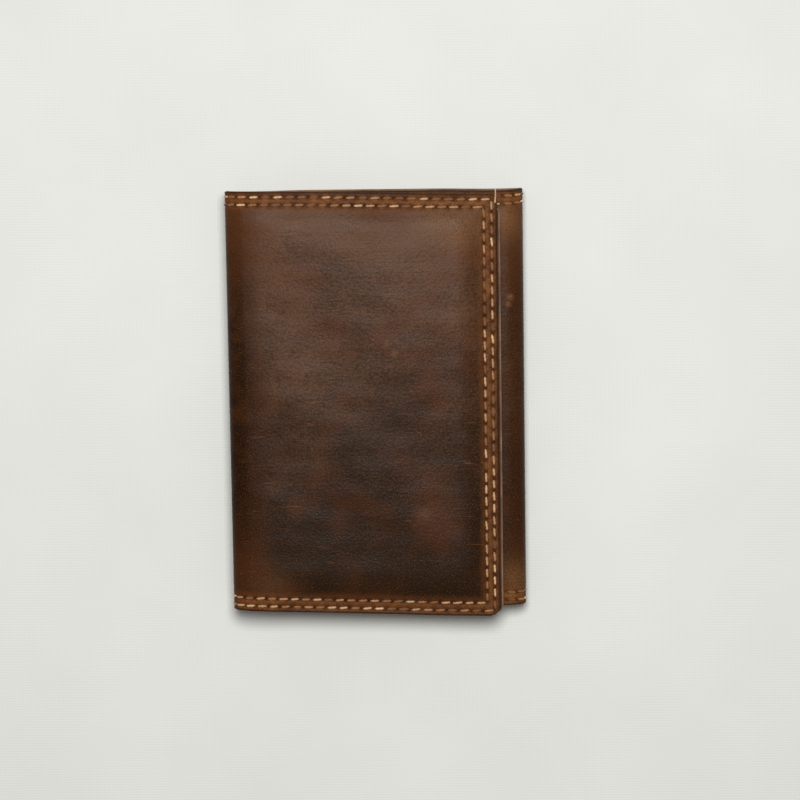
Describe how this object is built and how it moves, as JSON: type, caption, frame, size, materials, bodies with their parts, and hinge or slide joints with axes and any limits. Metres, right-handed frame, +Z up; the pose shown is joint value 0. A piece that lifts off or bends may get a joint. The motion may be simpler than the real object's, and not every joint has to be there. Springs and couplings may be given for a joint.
{
  "type": "trifold wallet",
  "caption": "Closed trifold leather wallet with a double-stitched front flap, a folded-in wing, card pockets, bill compartments and an identity window.",
  "frame": {"origin": "under the middle of the closed wallet, on its back face", "axes": "+X from the left fold to the right fold, +Y towards the open side of the bill compartments, +Z up from the back face through the folded panels"},
  "size_m": [0.077, 0.11, 0.0173],
  "materials": {
    "outer_leather": "waxed pull-up leather, satin, lighter and tan where it is bent and worn",
    "inner_leather": "satin leather with a raw tan cut edge",
    "pocket_leather": "thin satin leather with creased pocket mouths",
    "cloth": "dark woven nylon lining",
    "film": "clear flexible plastic film",
    "thread": "light tan waxed polyester thread"
  },
  "bodies": {
    "back_panel": {"back_outer_leather": "outer_leather", "back_bill_divider": "cloth", "back_inner_panel": "inner_leather", "back_pocket_rear": "pocket_leather", "back_pocket_middle": "pocket_leather", "back_pocket_front": "pocket_leather", "back_top_outer_stitches": "thread", "back_top_inner_stitches": "thread", "back_bottom_outer_stitches": "thread", "back_bottom_inner_stitches": "thread"},
    "left_spine": {"left_spine_leather": "outer_leather", "left_spine_lining": "cloth", "left_spine_top_outer_stitches": "thread", "left_spine_top_inner_stitches": "thread", "left_spine_bottom_outer_stitches": "thread", "left_spine_bottom_inner_stitches": "thread"},
    "front_flap": {"flap_outer_leather": "outer_leather", "flap_bill_divider": "cloth", "flap_inner_panel": "inner_leather", "flap_window_film": "film", "flap_window_frame": "pocket_leather", "flap_outer_stitches": "thread", "flap_inner_stitches": "thread"},
    "right_spine": {"right_spine_leather": "outer_leather", "right_spine_lining": "cloth", "right_spine_top_outer_stitches": "thread", "right_spine_top_inner_stitches": "thread", "right_spine_bottom_outer_stitches": "thread", "right_spine_bottom_inner_stitches": "thread"},
    "inner_wing": {"wing_outer_leather": "outer_leather", "wing_bill_divider": "cloth", "wing_inner_panel": "inner_leather", "wing_pocket_rear": "pocket_leather", "wing_pocket_middle": "pocket_leather", "wing_pocket_front": "pocket_leather", "wing_outer_stitches": "thread", "wing_inner_stitches": "thread"}
  },
  "joints": [
    {"name": "left_spine_fold", "type": "hinge", "parent": "back_panel", "child": "left_spine", "pos_m": [-0.0369, 0, 0.0016], "axis": [0, -1, 0], "range_deg": [0, 90]},
    {"name": "front_flap_fold", "type": "hinge", "parent": "left_spine", "child": "front_flap", "pos_m": [-0.0369, 0, 0.0157], "axis": [0, -1, 0], "range_deg": [0, 90]},
    {"name": "right_spine_fold", "type": "hinge", "parent": "back_panel", "child": "right_spine", "pos_m": [0.0369, 0, 0.0016], "axis": [0, 1, 0], "range_deg": [0, 90]},
    {"name": "inner_wing_fold", "type": "hinge", "parent": "right_spine", "child": "inner_wing", "pos_m": [0.0369, 0, 0.0104], "axis": [0, 1, 0], "range_deg": [0, 90]}
  ],
  "couplings": [
    {"joint": "front_flap_fold", "follows": "left_spine_fold", "ratio": 1},
    {"joint": "right_spine_fold", "follows": "left_spine_fold", "ratio": 0.2},
    {"joint": "inner_wing_fold", "follows": "left_spine_fold", "ratio": 0.2}
  ]
}
